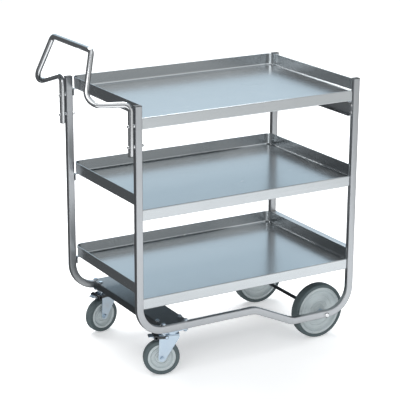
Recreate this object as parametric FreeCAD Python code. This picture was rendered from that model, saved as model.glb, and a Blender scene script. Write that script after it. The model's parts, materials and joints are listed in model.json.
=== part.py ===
import FreeCAD, Part
import math
import os

Vec = FreeCAD.Vector
os.makedirs("parts", exist_ok=True)

# Three-shelf service cart, millimetres. X runs from the push handle to the big wheels,
# Y from the front side to the back side, Z up from the floor.
# Everything is drawn about the middle of the four posts, then moved by originShift.

# Side frames: one bent rectangular tube each
cartLength = 884.0
cartWidth = 533.4
postLong = 25.4
postDeep = 19.05
tubeWall = 1.5
tubeSoft = 3.0
postTop = 960.0
bendRadius = 92.3
jogRadius = 80.0
upperRailZ = 176.5
lowerRailZ = 104.6
jogStartX = 27.0
jogEndX = 186.0

# Shelves
shelfLevels = {"top_shelf": 920.0, "middle_shelf": 610.5, "bottom_shelf": 299.5}
sheet = 1.2
frontSetback = 6.5
rimHeight = 41.5
flangeDrop = 38.4
lipDepth = 9.0
hemHeight = 10.0
cornerRadius = 26.0
coveRadius = 6.0
bendAllowance = 2.6

# Cross members
crossMemberTop = 880.0
crossMemberDrop = 51.0
crossMemberFlange = 14.0
crossMemberSheet = 2.5
crossTubeTop = 340.8
plateLong = 106.0
plateSheet = 3.0
plateFlange = 25.0
plateBend = 3.0

# Push handle
handleRadius = 9.5
handleWall = 1.5
handleGap = 3.0
handleLegEnd = 799.0
handleLegTop = 969.0
handleElbow = (-588.0, 196.0, 966.5)
handleBarEnd = (-534.7, 145.0, 1131.7)
handleBends = (24.0, 45.0, 20.0)
handleBoltZ = (828.0, 897.0)
smallBolt = 3.0
smallNut = 10.0
boltEnd = 9.0

# Swivel casters
casterWheelRadius = 63.5
casterTread = 32.0
kingpinX = -294.0
kingpinY = 236.0
trail = 36.0
casterTurn = {"front": -20.0, "back": 10.0}
casterPlate = (104.0, 58.0, 3.0)
casterBoltX = 43.0
casterBoltY = 21.2
casterBolt = 4.0
casterNut = 13.0
sleeveRadius = 5.4
kingpinRadius = 5.0
forkSheet = 3.0
wheelSleeveRadius = 6.0
forkInside = 37.0
forkTopZ = 151.0
forkBack = 45.0
forkNose = -24.0
forkShoulder = 14.0
forkEye = 12.5
forkRake = 199.2
raceRadius = 25.5
raceBall = 2.4
raceBallRing = 16.0
raceBallZ = 157.0
raceBallCount = 14
brakePivot = (20.0, 141.0)
brakeBar = (56.0, 140.0)
brakeBarRadius = 8.5
brakePinRadius = 3.0
brakeArm = 3.0
brakeTabHalf = 15.0
brakeTabReach = 17.0

# Big wheels
bigWheelRadius = 101.6
bigWheelX = 330.2
bigWheelY = 202.7
bigTread = 38.0
axleRadius = 6.35
bigHubHalf = 22.0

# Fits and clearances
runningFit = 0.06
boltClear = 0.2
snugFit = 0.05
seatFit = 0.02

# Derived
halfLength = cartLength / 2
halfWidth = cartWidth / 2
postX = halfLength - postLong / 2
postInnerX = halfLength - postLong
railY = halfWidth - postDeep / 2
railInnerY = halfWidth - postDeep
railTop = upperRailZ + postLong / 2
railBottom = upperRailZ - postLong / 2
shelfFrontY = -halfWidth + frontSetback
shelfHalfX = postInnerX - sheet
handleLegX = -halfLength - handleGap - handleRadius
plateTop = railTop + plateSheet
casterPlateTop = railBottom
casterPlateBottom = casterPlateTop - casterPlate[2]


def unit(start, end):
    return (end - start).normalize()


def roundedEdges(points, radii):
    # Straight runs joined by tangent arcs, one radius for each inner point
    edges = []
    start = points[0]
    for corner, following, radius in zip(points[1:-1], points[2:], radii):
        before = unit(start, corner)
        after = unit(corner, following)
        turn = before.getAngle(after)
        tangent = radius * math.tan(turn / 2)
        arcStart = corner - before * tangent
        arcEnd = corner + after * tangent
        inward = (after - before).normalize()
        arcMiddle = corner + inward * (radius / math.cos(turn / 2) - radius)
        edges.append(Part.makeLine(start, arcStart))
        edges.append(Part.Arc(arcStart, arcMiddle, arcEnd).toShape())
        start = arcEnd
    edges.append(Part.makeLine(start, points[-1]))
    return edges


def movedSideways(points, distance):
    # The same line in XZ, moved to its left by distance
    last = len(points) - 1
    moved = []
    for index, point in enumerate(points):
        before = unit(points[max(index - 1, 0)], points[max(index, 1)])
        after = unit(points[min(index, last - 1)], points[min(index + 1, last)])
        normalBefore = Vec(-before.z, 0, before.x)
        normalAfter = Vec(-after.z, 0, after.x)
        mitre = (normalBefore + normalAfter).normalize()
        moved.append(point + mitre * (distance / mitre.dot(normalBefore)))
    return moved


def strip(outline, radii, thick, width):
    # A strip that follows a rounded line of (x, z) points and is width wide along +Y
    points = [Vec(x, 0, z) for x, z in outline]
    sides = []
    ends = []
    for half in (thick / 2, -thick / 2):
        side = movedSideways(points, half)
        sideRadii = []
        for first, corner, following, radius in zip(points, points[1:], points[2:], radii):
            before = corner - first
            after = following - corner
            turnsLeft = before.x * after.z - before.z * after.x > 0
            sideRadii.append(radius - half if turnsLeft else radius + half)
        sides += roundedEdges(side, sideRadii)
        ends.append((side[0], side[-1]))
    sides.append(Part.makeLine(ends[0][0], ends[1][0]))
    sides.append(Part.makeLine(ends[0][1], ends[1][1]))
    wire = Part.Wire(Part.__sortEdges__(sides))
    return Part.Face(wire).extrude(Vec(0, width, 0))


def roundRod(points, radii, radius):
    path = Part.Wire(roundedEdges(points, radii))
    profile = Part.Wire(Part.makeCircle(radius, points[0], points[1] - points[0]))
    return path.makePipeShell([profile], True, False)


def turned(outline):
    # Solid of revolution about Z from (radius, height) points
    points = [Vec(radius, 0, height) for radius, height in outline]
    face = Part.Face(Part.makePolygon(points + points[:1]))
    return face.revolve(Vec(0, 0, 0), Vec(0, 0, 1), 360)


def aimed(shape, base, axis):
    # A shape drawn about Z, turned so that its Z runs along axis, and moved to base
    result = shape.copy()
    result.Placement = FreeCAD.Placement(base, FreeCAD.Rotation(Vec(0, 0, 1), axis))
    return result


def rod(base, axis, radius, length):
    return Part.makeCylinder(radius, length, base, axis)


def hexBlock(across, height):
    corner = across / math.sqrt(3)
    points = [Vec(corner * math.cos(math.radians(60 * k)), corner * math.sin(math.radians(60 * k)), 0)
              for k in range(7)]
    block = Part.Face(Part.makePolygon(points)).extrude(Vec(0, 0, height))
    chamfer = turned([(0, 0), (corner, 0), (corner, height - 0.22 * height),
                      (across / 2 * 0.96, height), (0, height)])
    return block.common(chamfer)


def box(xRange, yRange, zRange):
    return Part.makeBox(xRange[1] - xRange[0], yRange[1] - yRange[0], zRange[1] - zRange[0],
                        Vec(xRange[0], yRange[0], zRange[0]))


def mirroredY(shape):
    return shape.mirror(Vec(0, 0, 0), Vec(0, 1, 0))


def bothSides(shape):
    return [shape, mirroredY(shape)]


def lyingEdges(shape, axis, value):
    # Edges that lie wholly in one plane square to an axis
    found = []
    for edge in shape.Edges:
        bounds = edge.BoundBox
        low = getattr(bounds, axis + "Min")
        high = getattr(bounds, axis + "Max")
        if abs(low - value) < 1e-4 and abs(high - value) < 1e-4:
            found.append(edge)
    return found


# Side frame

def frameLine():
    return [(-postX, postTop), (-postX, upperRailZ), (jogStartX, upperRailZ),
            (jogEndX, lowerRailZ), (postX, lowerRailZ), (postX, postTop)]


def frameTube():
    radii = [bendRadius, jogRadius, jogRadius, bendRadius]
    body = strip(frameLine(), radii, postLong, postDeep)
    edges = []
    for face in (0.0, postDeep):
        for edge in lyingEdges(body, "Y", face):
            if edge.BoundBox.ZMin < postTop - 1e-4:
                edges.append(edge)
    body = body.makeFillet(tubeSoft, edges)
    bore = strip(frameLine(), radii, postLong - 2 * tubeWall, postDeep - 2 * tubeWall)
    bore.translate(Vec(0, tubeWall, 0))
    tube = body.cut(bore)
    tube.translate(Vec(0, -halfWidth, 0))
    return tube


def frontSideFrame():
    tube = frameTube()
    holes = [rod(Vec(bigWheelX, -halfWidth - 1, bigWheelRadius), Vec(0, 1, 0), axleRadius + 0.1,
                 postDeep + 2)]
    for z, length in zip(handleBoltZ, (postLong + 2, tubeWall + 2)):
        holes.append(rod(Vec(-halfLength - 1, -railY, z), Vec(1, 0, 0), smallBolt + boltClear, length))
    for z in crossBoltLevels():
        holes.append(rod(Vec(postInnerX - 1, -railY, z), Vec(1, 0, 0), smallBolt + boltClear, tubeWall + 2))
    for x in (kingpinX - casterBoltX, kingpinX + casterBoltX):
        holes.append(rod(Vec(x, -railY, railBottom - 1), Vec(0, 0, 1), casterBolt + boltClear, postLong + 2))
    for hole in holes:
        tube = tube.cut(hole)
    return tube


def postCap(x, y):
    # Plastic plug: a thin soft-edged head over the tube and a hollow skirt inside it
    head = box((-postLong / 2, postLong / 2), (-postDeep / 2, postDeep / 2), (0, 2.6))
    upright = [edge for edge in head.Edges if edge.BoundBox.ZLength > 2]
    head = head.makeFillet(tubeSoft, upright)
    head = head.makeFillet(1.1, lyingEdges(head, "Z", 2.6))
    skirtX = postLong / 2 - tubeWall - 0.1
    skirtY = postDeep / 2 - tubeWall - 0.1
    skirt = box((-skirtX, skirtX), (-skirtY, skirtY), (-11, 0))
    skirt = skirt.cut(box((-skirtX + 2, skirtX - 2), (-skirtY + 2, skirtY - 2), (-12, -1)))
    cap = head.fuse(skirt).removeSplitter()
    cap.translate(Vec(x, y, postTop))
    return cap


# Shelves

def trayPlan(inset, front):
    # Plan with square front corners and rounded back corners
    halfX = shelfHalfX - inset
    back = -shelfFrontY - inset
    radius = cornerRadius - inset
    slant = radius * math.sqrt(0.5)
    right = halfX - radius
    edges = [
        Part.makeLine(Vec(-halfX, front, 0), Vec(halfX, front, 0)),
        Part.makeLine(Vec(halfX, front, 0), Vec(halfX, back - radius, 0)),
        Part.Arc(Vec(halfX, back - radius, 0), Vec(right + slant, back - radius + slant, 0),
                 Vec(right, back, 0)).toShape(),
        Part.makeLine(Vec(right, back, 0), Vec(-right, back, 0)),
        Part.Arc(Vec(-right, back, 0), Vec(-right - slant, back - radius + slant, 0),
                 Vec(-halfX, back - radius, 0)).toShape(),
        Part.makeLine(Vec(-halfX, back - radius, 0), Vec(-halfX, front, 0)),
    ]
    return Part.Face(Part.Wire(edges))


def coved(block, level, front, radius):
    # Rounds the bottom edges of a tray block, all but its front edge
    edges = [edge for edge in lyingEdges(block, "Z", level) if edge.BoundBox.YMax > front + 1]
    return block.makeFillet(radius, edges)


def shelf(level):
    front = shelfFrontY + 4
    outer = trayPlan(0, front).extrude(Vec(0, 0, rimHeight + sheet))
    outer.translate(Vec(0, 0, level - sheet))
    outer = coved(outer, level - sheet, front, coveRadius + sheet)
    inner = trayPlan(sheet, front - 5).extrude(Vec(0, 0, rimHeight + 5))
    inner.translate(Vec(0, 0, level))
    inner = coved(inner, level, front - 5, coveRadius)
    tray = outer.cut(inner)
    hem = trayPlan(-sheet, front).cut(trayPlan(0, front - 1)).extrude(Vec(0, 0, hemHeight))
    hem.translate(Vec(0, 0, level + rimHeight - hemHeight))
    # Front edge: bent down, then a short lip back underneath
    middle = level - sheet / 2
    face = shelfFrontY + sheet / 2
    outline = [(front, middle), (face, middle), (face, middle - flangeDrop + sheet),
               (face + lipDepth, middle - flangeDrop + sheet)]
    apron = strip(outline, [bendAllowance, bendAllowance], sheet, 2 * shelfHalfX)
    apron.rotate(Vec(0, 0, 0), Vec(0, 0, 1), 90)
    apron.translate(Vec(shelfHalfX, 0, 0))
    return tray.fuse([hem, apron]).removeSplitter()


def shelfBrackets():
    # Bent tabs that carry each shelf's corners on the posts
    tabs = []
    for level in shelfLevels.values():
        under = level - sheet - 1.5
        tab = strip([(-postInnerX + 1.5, under - 24), (-postInnerX + 1.5, under), (-postInnerX + 25, under)],
                    [4.0], 3.0, 14.0)
        tab.translate(Vec(0, -257.0, 0))
        left = bothSides(tab)
        tabs += left + [piece.mirror(Vec(0, 0, 0), Vec(1, 0, 0)) for piece in left]
    return Part.makeCompound(tabs)


# Cross members

def crossBoltLevels():
    return (crossMemberTop - crossMemberDrop + 12, crossMemberTop - 12)


def upperCrossMember():
    # Channel behind the end of the top shelf, its web on the posts' inner faces
    half = halfWidth - 7.5
    web = postInnerX - crossMemberSheet / 2
    bottom = crossMemberTop - crossMemberDrop + crossMemberSheet / 2
    top = crossMemberTop - crossMemberSheet / 2
    outline = [(web - crossMemberFlange, bottom), (web, bottom), (web, top), (web - crossMemberFlange, top)]
    channel = strip(outline, [3.5, 3.5], crossMemberSheet, 2 * half)
    channel.translate(Vec(0, -half, 0))
    for y in (-railY, railY):
        for z in crossBoltLevels():
            channel = channel.cut(rod(Vec(postInnerX - 10, y, z), Vec(1, 0, 0), smallBolt + boltClear, 20))
    return channel


def crossMemberBolts():
    start = postInnerX - crossMemberSheet
    shank = rod(Vec(0, 0, -12), Vec(0, 0, 1), smallBolt, 12)
    bolt = hexBlock(smallNut, 4.0).fuse(shank)
    bolts = [aimed(bolt, Vec(start, y, z), Vec(-1, 0, 0))
             for y in (-railY, railY) for z in crossBoltLevels()]
    return Part.makeCompound(bolts)


def lowerCrossTube():
    # Square tube between the big-wheel posts, just outside the bottom shelf's rim
    bottom = crossTubeTop - postLong
    outer = box((postInnerX, halfLength), (-railInnerY, railInnerY), (bottom, crossTubeTop))
    lengthwise = [edge for edge in outer.Edges if edge.BoundBox.YLength > postLong]
    outer = outer.makeFillet(tubeSoft, lengthwise)
    inner = box((postInnerX + tubeWall, halfLength - tubeWall), (-railInnerY, railInnerY),
                (bottom + tubeWall, crossTubeTop - tubeWall))
    return outer.cut(inner)


def boltPlaces():
    return [(kingpinX + stepX, side * (kingpinY + stepY))
            for side in (-1, 1) for stepX in (-casterBoltX, casterBoltX)
            for stepY in (-casterBoltY, casterBoltY)]


def casterCrossPlate():
    # Channel across both rails: full width on top, flanges only between the rails
    half = plateLong / 2
    middle = plateTop - plateSheet / 2
    left = kingpinX - half + plateSheet / 2
    right = kingpinX + half - plateSheet / 2
    low = plateTop - plateFlange
    channel = strip([(left, low), (left, middle), (right, middle), (right, low)], [plateBend, plateBend],
                    plateSheet, 2 * railInnerY - 2)
    channel.translate(Vec(0, 1 - railInnerY, 0))
    lid = box((kingpinX - half + 6, kingpinX + half - 6), (2.5 - halfWidth, halfWidth - 2.5),
              (railTop, plateTop))
    upright = [edge for edge in lid.Edges if edge.BoundBox.ZLength > 2]
    lid = lid.makeFillet(6.0, upright)
    plate = channel.fuse(lid).removeSplitter()
    for x, y in boltPlaces():
        plate = plate.cut(rod(Vec(x, y, railTop - 2), Vec(0, 0, 1), casterBolt + boltClear, 8))
    return plate


def casterBolts():
    grip = plateTop - casterPlateBottom
    shank = rod(Vec(0, 0, -grip - 8.3), Vec(0, 0, 1), casterBolt, grip + 8.3)
    bolt = hexBlock(casterNut, 5.3).fuse(shank)
    return Part.makeCompound([aimed(bolt, Vec(x, y, plateTop), Vec(0, 0, 1))
                              for x, y in boltPlaces()])


def casterNuts():
    nut = hexBlock(casterNut, 6.5).cut(rod(Vec(0, 0, -1), Vec(0, 0, 1), casterBolt + snugFit, 9))
    return Part.makeCompound([aimed(nut, Vec(x, y, casterPlateBottom), Vec(0, 0, -1))
                              for x, y in boltPlaces()])


def casterBoltSleeves():
    # Tubes that keep the plate apart from the caster where there is no rail between them
    sleeve = rod(Vec(0, 0, 0), Vec(0, 0, 1), sleeveRadius, railTop - casterPlateTop)
    sleeve = sleeve.cut(rod(Vec(0, 0, -1), Vec(0, 0, 1), casterBolt + boltClear, 40))
    return Part.makeCompound([aimed(sleeve, Vec(x, y, casterPlateTop), Vec(0, 0, 1))
                              for x, y in boltPlaces() if abs(y) < kingpinY])


# Push handle

def handlePoints():
    front = [Vec(handleLegX, -railY, handleLegEnd), Vec(handleLegX, -railY, handleLegTop),
             Vec(handleElbow[0], -handleElbow[1], handleElbow[2]),
             Vec(handleBarEnd[0], -handleBarEnd[1], handleBarEnd[2])]
    back = [Vec(point.x, -point.y, point.z) for point in reversed(front)]
    return front + back


def pushHandle():
    radii = list(handleBends) + list(reversed(handleBends))
    tube = roundRod(handlePoints(), radii, handleRadius)
    tube = tube.cut(roundRod(handlePoints(), radii, handleRadius - handleWall))
    for y in (-railY, railY):
        for z in handleBoltZ:
            tube = tube.cut(rod(Vec(handleLegX - 10, y, z), Vec(1, 0, 0), smallBolt + boltClear, 20))
    return tube


def handleEndPlugs():
    plug = turned([(0, 0), (handleRadius - 1, 0), (handleRadius, 1), (handleRadius, 2.5),
                   (handleRadius - handleWall - 0.1, 2.5), (handleRadius - handleWall - 0.1, 12), (0, 12)])
    plug.translate(Vec(handleLegX, -railY, handleLegEnd - 2.5))
    return Part.makeCompound(bothSides(plug))


def handleSpacers():
    pieces = []
    for z in handleBoltZ:
        spacer = rod(Vec(handleLegX + 3, -railY, z), Vec(1, 0, 0), 6.5, handleRadius + handleGap - 3)
        spacer = spacer.cut(rod(Vec(handleLegX, -railY, z - 20), Vec(0, 0, 1), handleRadius + seatFit, 40))
        spacer = spacer.cut(rod(Vec(handleLegX, -railY, z), Vec(1, 0, 0), smallBolt + boltClear, 20))
        pieces += bothSides(spacer)
    return Part.makeCompound(pieces)


def handleBolts():
    # Round-headed bolts through leg and spacer: the lower ones pass through the post to a nut,
    # the upper ones end inside it, because the shelf is in the way
    headFace = handleLegX - handleRadius
    head = turned([(0, -1.5), (4.8, -1.5), (5.2, 0.5), (4.6, 2.2), (2.8, 3.4), (0, 3.8)])
    head = head.cut(rod(Vec(-20, 0, -handleRadius), Vec(1, 0, 0), handleRadius + seatFit, 40))
    bolts = []
    for z, tip in zip(handleBoltZ, (-postInnerX + boltEnd, -halfLength + boltEnd)):
        length = tip - headFace
        bolt = head.fuse(rod(Vec(0, 0, -length), Vec(0, 0, 1), smallBolt, length))
        bolts += [aimed(bolt, Vec(headFace, y, z), Vec(-1, 0, 0)) for y in (-railY, railY)]
    return Part.makeCompound(bolts)


def handleAcornNuts():
    dome = turned([(0, 5), (4.6, 5), (4.2, 8), (2.6, 10.2), (0, 11)])
    nut = hexBlock(smallNut, 5.4).fuse(dome).cut(rod(Vec(0, 0, -1), Vec(0, 0, 1), smallBolt + snugFit, 10.2))
    return Part.makeCompound([aimed(nut, Vec(-postInnerX, y, handleBoltZ[0]), Vec(1, 0, 0))
                              for y in (-railY, railY)])


# Swivel casters, drawn with the kingpin on Z and the wheel trailing towards +X

def casterTopPlate():
    halfX = casterPlate[0] / 2
    halfY = casterPlate[1] / 2
    plate = box((-halfX, halfX), (-halfY, halfY), (casterPlateBottom, casterPlateTop))
    upright = [edge for edge in plate.Edges if edge.BoundBox.ZLength > 1]
    plate = plate.makeFillet(8.0, upright)
    for x in (-casterBoltX, casterBoltX):
        for y in (-casterBoltY, casterBoltY):
            plate = plate.cut(rod(Vec(x, y, casterPlateBottom - 1), Vec(0, 0, 1), casterBolt + boltClear, 6))
    return plate.cut(rod(Vec(0, 0, casterPlateBottom - 1), Vec(0, 0, 1), kingpinRadius + snugFit, 6))


def upperRace():
    inner = kingpinRadius + snugFit
    return turned([(inner, 159.4), (raceRadius - 3, 159.4), (raceRadius - 3, 155.4),
                   (raceRadius, 155.0), (raceRadius, 158.6), (raceRadius - 1.5, casterPlateBottom),
                   (inner, casterPlateBottom)])


def kingpin():
    low = forkTopZ - forkSheet - 0.3
    high = casterPlateTop
    return turned([(0, low - 4.5), (7.5, low - 4.5), (9, low - 3), (9, low), (kingpinRadius, low),
                   (kingpinRadius, high), (8, high), (7, high + 2.6), (4, high + 3.8), (0, high + 3.8)])


def raceBalls():
    balls = []
    for k in range(raceBallCount):
        turn = 2 * math.pi * k / raceBallCount
        place = Vec(raceBallRing * math.cos(turn), raceBallRing * math.sin(turn), raceBallZ)
        balls.append(Part.makeSphere(raceBall, place))
    return Part.makeCompound(balls)


def forkOutline():
    # Side view of a leg: square shoulders, raked front edge, round end at the axle
    rake = math.radians(forkRake)
    eyeBack = Vec(trail + forkEye, 0, casterWheelRadius)
    eyeLow = Vec(trail, 0, casterWheelRadius - forkEye)
    eyeFront = Vec(trail + forkEye * math.cos(rake), 0, casterWheelRadius + forkEye * math.sin(rake))
    shoulder = Vec(forkNose, 0, forkTopZ - forkShoulder)
    edges = [
        Part.makeLine(Vec(forkNose, 0, forkTopZ), Vec(forkBack, 0, forkTopZ)),
        Part.makeLine(Vec(forkBack, 0, forkTopZ), eyeBack),
        Part.Arc(eyeBack, eyeLow, eyeFront).toShape(),
        Part.makeLine(eyeFront, shoulder),
        Part.makeLine(shoulder, Vec(forkNose, 0, forkTopZ)),
    ]
    return Part.Face(Part.Wire(edges))


def fork():
    middle = forkTopZ - forkSheet / 2
    legY = forkInside / 2 + forkSheet / 2
    bend = strip([(-legY, 40), (-legY, middle), (legY, middle), (legY, 40)], [6.0, 6.0], forkSheet, 90)
    bend.rotate(Vec(0, 0, 0), Vec(0, 0, 1), 90)
    bend.translate(Vec(60, 0, 0))
    side = forkOutline().extrude(Vec(0, 60, 0))
    side.translate(Vec(0, -30, 0))
    body = bend.common(side)
    lowerRace = turned([(0, forkTopZ - 1), (21.5, forkTopZ - 1), (21.5, forkTopZ + 2.2),
                        (20.5, forkTopZ + 3.2), (0, forkTopZ + 3.2)])
    body = body.fuse(lowerRace).removeSplitter()
    body = body.cut(rod(Vec(0, 0, 140), Vec(0, 0, 1), kingpinRadius + runningFit, 20))
    body = body.cut(rod(Vec(trail, -30, casterWheelRadius), Vec(0, 1, 0), casterBolt + 0.1, 60))
    pinHole = rod(Vec(brakePivot[0], -30, brakePivot[1]), Vec(0, 1, 0), brakePinRadius + snugFit, 60)
    return body.cut(pinHole)


def wheelBolt():
    side = forkInside / 2 + forkSheet
    length = 2 * side + 9
    bolt = hexBlock(casterNut, 5.3).fuse(rod(Vec(0, 0, -length), Vec(0, 0, 1), casterBolt, length))
    return aimed(bolt, Vec(trail, -side, casterWheelRadius), Vec(0, -1, 0))


def wheelNut():
    nut = hexBlock(casterNut, 7.0).cut(rod(Vec(0, 0, -1), Vec(0, 0, 1), casterBolt + snugFit, 9))
    return aimed(nut, Vec(trail, forkInside / 2 + forkSheet, casterWheelRadius), Vec(0, 1, 0))


def wheelSleeve():
    start = Vec(trail, -forkInside / 2, casterWheelRadius)
    bore = rod(start, Vec(0, 1, 0), casterBolt + 0.1, forkInside)
    return rod(start, Vec(0, 1, 0), wheelSleeveRadius, forkInside).cut(bore)


def casterBush():
    start = Vec(trail, -17, casterWheelRadius)
    bore = rod(start, Vec(0, 1, 0), wheelSleeveRadius + runningFit, 34)
    return rod(start, Vec(0, 1, 0), 8.98, 34).cut(bore)


def onWheelAxis(shape, x, y, z):
    return aimed(shape, Vec(x, y, z), Vec(0, 1, 0))


def doubled(halfOutline):
    # Closes a half section, listed from the axis outwards on its +Z side, over its mirror image
    return halfOutline + [(radius, -height) for radius, height in reversed(halfOutline)]


def casterHub():
    half = [(9.0, 17.0), (14.0, 17.0), (15.5, 15.0), (17.0, 8.0), (22.0, 6.5), (23.5, 8.0), (26.0, 8.0),
            (27.5, 6.5), (37.0, 6.5), (40.5, 12.5), (43.5, 14.5), (48.5, 14.5)]
    return onWheelAxis(turned(doubled(half)), trail, 0, casterWheelRadius)


def tyreShape(inner, outer, width):
    half = width / 2
    crown = outer - inner
    section = [(inner + 0.02, half - 1.8), (inner + 1.5, half - 0.4), (inner + 0.35 * crown, half),
               (outer - 0.4 * crown, half), (outer - 0.16 * crown, half * 0.86),
               (outer - 0.05 * crown, half * 0.6), (outer, half * 0.3)]
    return turned(doubled(section))


def casterTyre():
    return onWheelAxis(tyreShape(48.5, casterWheelRadius, casterTread), trail, 0, casterWheelRadius)


def brakePin():
    side = forkInside / 2 + forkSheet
    half = side + 4
    head = brakePinRadius + 2
    pin = turned([(0, -half - 2), (head - 0.6, -half - 2), (head, -half - 1), (head, -half),
                  (brakePinRadius, -half), (brakePinRadius, half), (head, half), (head, half + 1),
                  (head - 0.6, half + 2), (0, half + 2)])
    return aimed(pin, Vec(brakePivot[0], 0, brakePivot[1]), Vec(0, 1, 0))


def brakePedal():
    # Two side arms on the pin, joined by a hollow bar that swings down onto the tread
    side = forkInside / 2 + forkSheet + 0.5
    pivot = Vec(brakePivot[0], side, brakePivot[1])
    bar = Vec(brakeBar[0], side, brakeBar[1])
    plate = rod(pivot, Vec(0, 1, 0), 6.5, brakeArm)
    plate = plate.fuse(rod(bar, Vec(0, 1, 0), brakeBarRadius, brakeArm))
    web = box((brakePivot[0], brakeBar[0]), (side, side + brakeArm),
              (brakePivot[1] - 4.5, brakePivot[1] + 4.5))
    plate = plate.fuse(web)
    tube = rod(Vec(bar.x, -side - brakeArm, bar.z), Vec(0, 1, 0), brakeBarRadius, 2 * (side + brakeArm))
    pedal = plate.fuse([mirroredY(plate), tube]).removeSplitter()
    pedal = pedal.cut(rod(Vec(bar.x, -60, bar.z), Vec(0, 1, 0), 4.6, 120))
    return pedal.cut(rod(Vec(pivot.x, -60, pivot.z), Vec(0, 1, 0), brakePinRadius + runningFit, 120))


def brakeTab():
    # Foot plate that wraps the back of the bar
    reach = brakeBar[0] + brakeBarRadius
    plate = box((reach - 3, reach + brakeTabReach), (-brakeTabHalf, brakeTabHalf),
                (brakeBar[1] + 0.5, brakeBar[1] + 3.0))
    outer = [edge for edge in plate.Edges
             if edge.BoundBox.ZLength > 2 and edge.BoundBox.XMin > reach]
    plate = plate.makeFillet(5.0, outer)
    lip = box((reach - 3, reach + 1.8), (-brakeTabHalf, brakeTabHalf),
              (brakeBar[1] - 5, brakeBar[1] + 3.0))
    tab = plate.fuse(lip).removeSplitter()
    return tab.cut(rod(Vec(brakeBar[0], -60, brakeBar[1]), Vec(0, 1, 0), brakeBarRadius + 0.01, 120))


def placedCaster(shape, side, swivelled):
    # Puts a caster part under the front or back rail, turned with its fork if it swivels
    result = shape.copy()
    y = -kingpinY if side == "front" else kingpinY
    turn = 180 + casterTurn[side] if swivelled else 0
    result.rotate(Vec(0, 0, 0), Vec(0, 0, 1), turn)
    result.translate(Vec(kingpinX, y, 0))
    return result


# Big wheels

def bigHub():
    half = [(9.52, bigHubHalf), (20.0, bigHubHalf), (22.5, 20.0), (24.0, 11.0), (30.0, 8.5), (56.0, 7.5),
            (70.0, 9.0), (77.0, 13.0), (81.0, 16.0), (88.0, 16.0)]
    return turned(doubled(half))


def bigTyre():
    return tyreShape(88.0, bigWheelRadius, bigTread)


def bigBush():
    bore = axleRadius + runningFit
    return turned([(bore, -bigHubHalf), (9.5, -bigHubHalf), (9.5, bigHubHalf), (bore, bigHubHalf)])


def axle():
    half = halfWidth + 3
    return rod(Vec(bigWheelX, -half, bigWheelRadius), Vec(0, 1, 0), axleRadius, 2 * half)


def axleRings(radius, nearY, farY):
    ring = rod(Vec(bigWheelX, -nearY, bigWheelRadius), Vec(0, 1, 0), radius, nearY - farY)
    bore = rod(Vec(bigWheelX, -nearY, bigWheelRadius), Vec(0, 1, 0), axleRadius + snugFit, nearY - farY)
    return Part.makeCompound(bothSides(ring.cut(bore)))


def axleCaps():
    cap = turned([(0, 0), (9.5, 0), (9.5, 1.2), (8.3, 1.8), (8.0, 4.5), (6.0, 6.6), (0, 7.4)])
    cap = cap.cut(rod(Vec(0, 0, -1), Vec(0, 0, 1), axleRadius + snugFit, 4.2))
    cap = aimed(cap, Vec(bigWheelX, -halfWidth, bigWheelRadius), Vec(0, -1, 0))
    return Part.makeCompound(bothSides(cap))


def wheelPlaced(shape, side):
    return onWheelAxis(shape, bigWheelX, -bigWheelY if side == "front" else bigWheelY, bigWheelRadius)


def allParts():
    nodes = {}
    nodes["front_side_frame"] = frontSideFrame()
    nodes["back_side_frame"] = mirroredY(frontSideFrame())
    for end, x in (("handle", -postX), ("wheel", postX)):
        for side, y in (("front", -railY), ("back", railY)):
            nodes[f"post_cap_{end}_{side}"] = postCap(x, y)
    for name, level in shelfLevels.items():
        nodes[name] = shelf(level)
    nodes["shelf_brackets"] = shelfBrackets()
    nodes["upper_cross_member"] = upperCrossMember()
    nodes["cross_member_bolts"] = crossMemberBolts()
    nodes["lower_cross_tube"] = lowerCrossTube()
    nodes["push_handle"] = pushHandle()
    nodes["handle_end_plugs"] = handleEndPlugs()
    nodes["handle_spacers"] = handleSpacers()
    nodes["handle_bolts"] = handleBolts()
    nodes["handle_acorn_nuts"] = handleAcornNuts()
    nodes["caster_cross_plate"] = casterCrossPlate()
    nodes["caster_bolts"] = casterBolts()
    nodes["caster_nuts"] = casterNuts()
    nodes["caster_bolt_sleeves"] = casterBoltSleeves()
    for side in ("front", "back"):
        fixed = {"caster_plate": casterTopPlate, "upper_race": upperRace, "kingpin": kingpin,
                 "race_balls": raceBalls}
        moving = {"fork": fork, "wheel_bolt": wheelBolt, "wheel_nut": wheelNut,
                  "wheel_sleeve": wheelSleeve, "brake_pin": brakePin, "brake_pedal": brakePedal,
                  "brake_tab": brakeTab, "caster_bush": casterBush, "caster_hub": casterHub,
                  "caster_tyre": casterTyre}
        for name, build in fixed.items():
            nodes[f"{side}_{name}"] = placedCaster(build(), side, False)
        for name, build in moving.items():
            nodes[f"{side}_{name}"] = placedCaster(build(), side, True)
        for name, build in {"big_hub": bigHub, "big_tyre": bigTyre, "big_bush": bigBush}.items():
            nodes[f"{side}_{name}"] = wheelPlaced(build(), side)
    nodes["axle"] = axle()
    hubFace = bigWheelY + bigHubHalf + 0.3
    collarFace = bigWheelY - bigHubHalf - 0.3
    nodes["axle_spacers"] = axleRings(10.0, railInnerY, hubFace)
    nodes["axle_collars"] = axleRings(11.5, collarFace, collarFace - 9)
    nodes["axle_caps"] = axleCaps()
    return nodes


nodes = allParts()
handleReach = nodes["push_handle"].BoundBox.XMin
originShift = Vec(-(handleReach + halfLength) / 2, 0, 0)
print(f"{len(nodes)} nodes, origin shift {originShift.x:.3f} mm")
for name, shape in nodes.items():
    shape.translate(originShift)
    for solid in shape.Solids:
        if not solid.isValid() or not solid.isClosed():
            print("bad solid in", name)
    shape.exportStep(f"parts/{name}.step")
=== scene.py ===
import json
import math

import bmesh
import bpy
from mathutils import Euler, Matrix, Vector


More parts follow.
